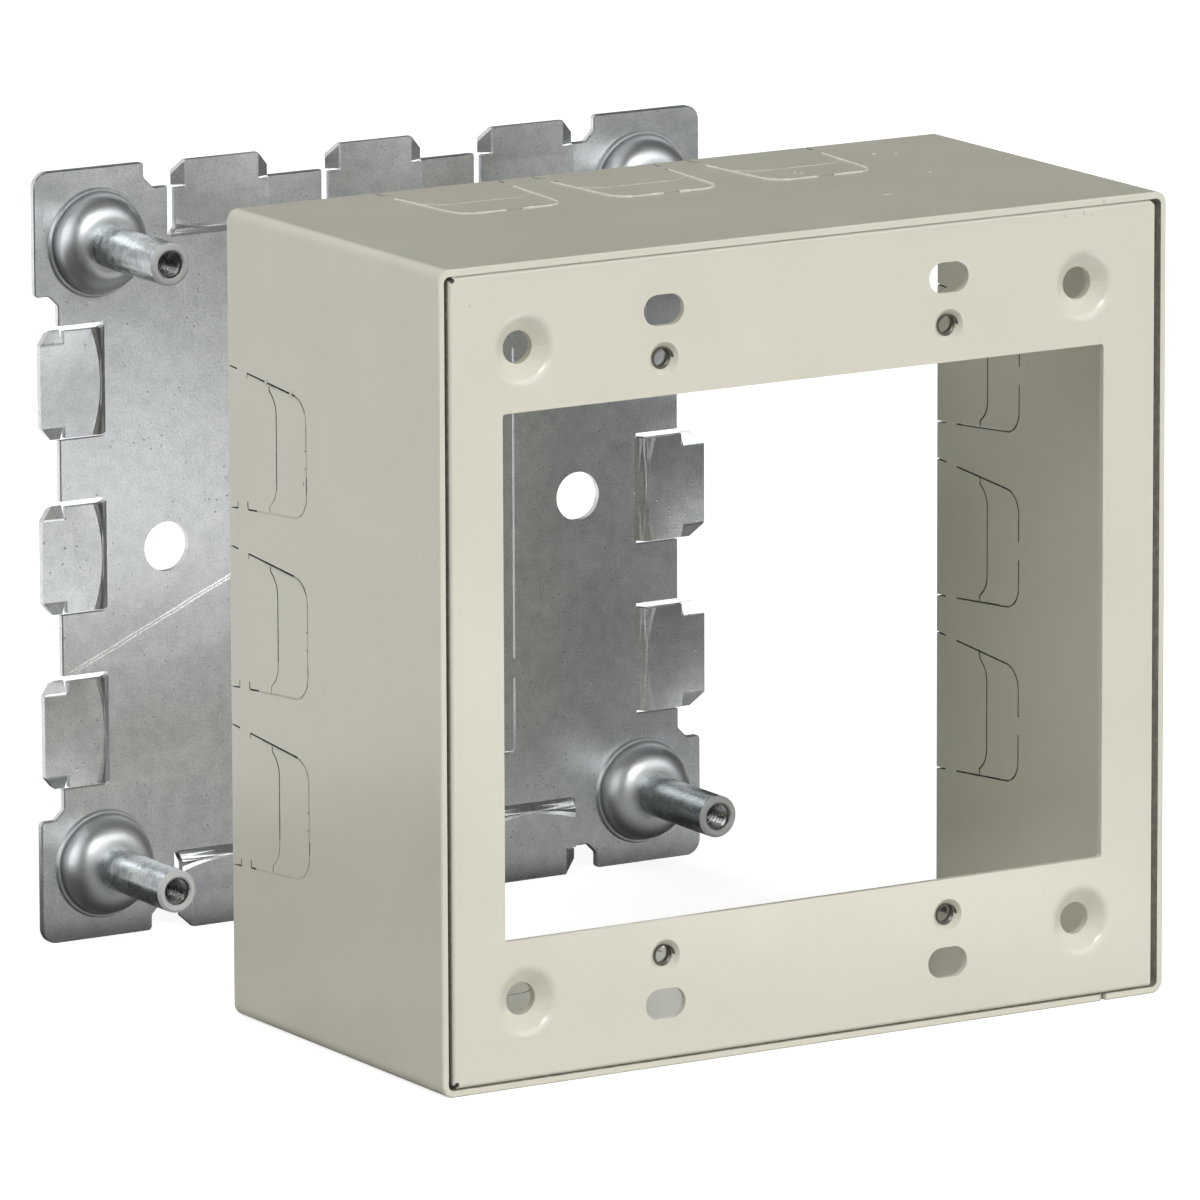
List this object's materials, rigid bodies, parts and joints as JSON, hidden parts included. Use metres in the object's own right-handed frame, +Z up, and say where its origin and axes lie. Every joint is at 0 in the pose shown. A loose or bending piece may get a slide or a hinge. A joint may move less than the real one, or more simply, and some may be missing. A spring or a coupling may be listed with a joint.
{
  "type": "raceway outlet box",
  "caption": "Deep sheet-steel outlet box for surface raceway: painted cover with a large window standing in front of its galvanised base plate with raised tongues and threaded posts.",
  "frame": {"origin": "centre of the base plate's back face, on the wall", "axes": "+Z up the wall, +X to the right as seen from the front, -Y out of the wall towards the front of the box"},
  "size_m": [0.1196, 0.11, 0.1144],
  "materials": {
    "painted_steel": "semi-gloss ivory enamel over sheet steel",
    "galvanised_steel": "mottled galvanised sheet",
    "zinc_plated_steel": "zinc-plated turned steel tube"
  },
  "bodies": {
    "root": {"cover_wrap": "painted_steel", "front_panel": "painted_steel", "base_plate": "galvanised_steel", "post_top_left": "zinc_plated_steel", "post_top_right": "zinc_plated_steel", "post_bottom_left": "zinc_plated_steel", "post_bottom_right": "zinc_plated_steel"}
  },
  "joints": []
}
